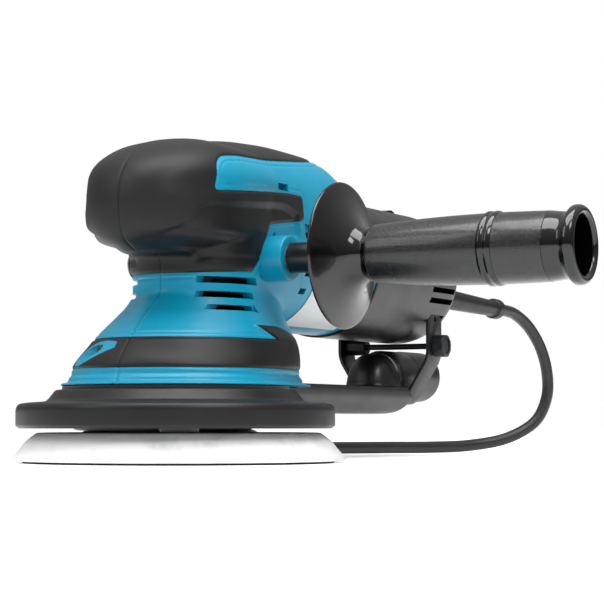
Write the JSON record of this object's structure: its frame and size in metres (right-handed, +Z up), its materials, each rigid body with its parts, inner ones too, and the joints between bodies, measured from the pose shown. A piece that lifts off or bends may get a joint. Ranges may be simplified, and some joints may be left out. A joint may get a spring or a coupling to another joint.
{
  "type": "dual action polisher",
  "caption": "Palm-bodied orbital polisher with a round pad, a rear motor housing, a dust outlet, a side handle and a mains cord.",
  "frame": {"origin": "on the spindle's axis, at the working face of the pad", "axes": "+X forward to the nose, along the motor's axis; +Y to the side handle; +Z up, along the spindle"},
  "size_m": [0.4603, 0.3575, 0.151],
  "materials": {
    "hook_facing": "matt hooked nylon",
    "pad_foam": "fine matt moulded foam",
    "black_rubber": "satin",
    "grip_rubber": "fine matt grain",
    "blue_plastic": "fine satin grain",
    "black_plastic": "fine spark texture",
    "gloss_black": "gloss with a leather grain on the grip",
    "bright_steel": "turned",
    "black_steel": "blackened",
    "cast_alloy": "cast",
    "copper": "enamelled copper",
    "carbon": "carbon",
    "circuit_board": "lacquered board",
    "plate_silver": "satin, blank"
  },
  "bodies": {
    "tool": {"skirt": "black_rubber", "cord_guard": "black_rubber", "cord": "black_rubber", "cord_coil": "black_rubber", "plug": "black_rubber", "head_grip_left": "grip_rubber", "head_grip_right": "grip_rubber", "base_band_left": "grip_rubber", "base_band_right": "grip_rubber", "body_left": "blue_plastic", "body_right": "blue_plastic", "motor_housing": "blue_plastic", "rear_housing": "black_plastic", "dust_nozzle": "black_plastic", "switch_body": "black_plastic", "cord_clamp": "black_plastic", "ring_gear": "black_plastic", "handle_grip": "gloss_black", "handle_collar": "gloss_black", "lower_bearing": "bright_steel", "upper_bearing": "bright_steel", "body_screws": "bright_steel", "rear_screws": "bright_steel", "front_bearing": "bright_steel", "rear_bearing": "bright_steel", "stator": "bright_steel", "handle_stud": "bright_steel", "strap_washer": "bright_steel", "strap_nut": "bright_steel", "brush_springs": "bright_steel", "nozzle_strap": "black_steel", "strap_bolt": "black_steel", "gear_case": "cast_alloy", "base_plate": "cast_alloy", "brush_holders": "cast_alloy", "field_coils": "copper", "carbon_brushes": "carbon", "speed_controller": "circuit_board", "rating_plate": "plate_silver"},
    "spindle_assembly": {"spindle": "bright_steel", "bevel_gear": "bright_steel", "spindle_nut": "bright_steel", "eccentric_carrier": "bright_steel", "pad_bearing": "bright_steel"},
    "pad_assembly": {"hook_facing": "hook_facing", "backing_pad": "pad_foam", "pad_plate": "black_plastic", "pad_gear": "bright_steel", "pad_bolt": "bright_steel"},
    "armature": {"armature_shaft": "bright_steel", "bevel_pinion": "bright_steel", "armature_core": "bright_steel", "commutator": "copper", "cooling_fan": "black_plastic"},
    "switch_slider": {"switch_slider": "black_plastic"},
    "speed_dial": {"speed_dial": "black_plastic"}
  },
  "joints": [
    {"name": "spindle_spin", "type": "hinge", "parent": "tool", "child": "spindle_assembly", "pos_m": [0, 0, 0.05], "axis": [0, 0, 1], "continuous": true},
    {"name": "pad_spin", "type": "hinge", "parent": "spindle_assembly", "child": "pad_assembly", "pos_m": [-0.00275, 0, 0.02], "axis": [0, 0, 1], "continuous": true},
    {"name": "armature_spin", "type": "hinge", "parent": "tool", "child": "armature", "pos_m": [-0.08, 0, 0.098], "axis": [1, 0, 0], "continuous": true},
    {"name": "switch_travel", "type": "slide", "parent": "tool", "child": "switch_slider", "axis": [1, 0, 0], "range_m": [0, 0.005]},
    {"name": "dial_turn", "type": "hinge", "parent": "tool", "child": "speed_dial", "pos_m": [-0.219, 0, 0.1268], "axis": [0, 1, 0], "range_deg": [0, 270]}
  ],
  "couplings": [
    {"joint": "pad_spin", "follows": "spindle_spin", "ratio": -1.1154},
    {"joint": "armature_spin", "follows": "spindle_spin", "ratio": 4.3333}
  ]
}
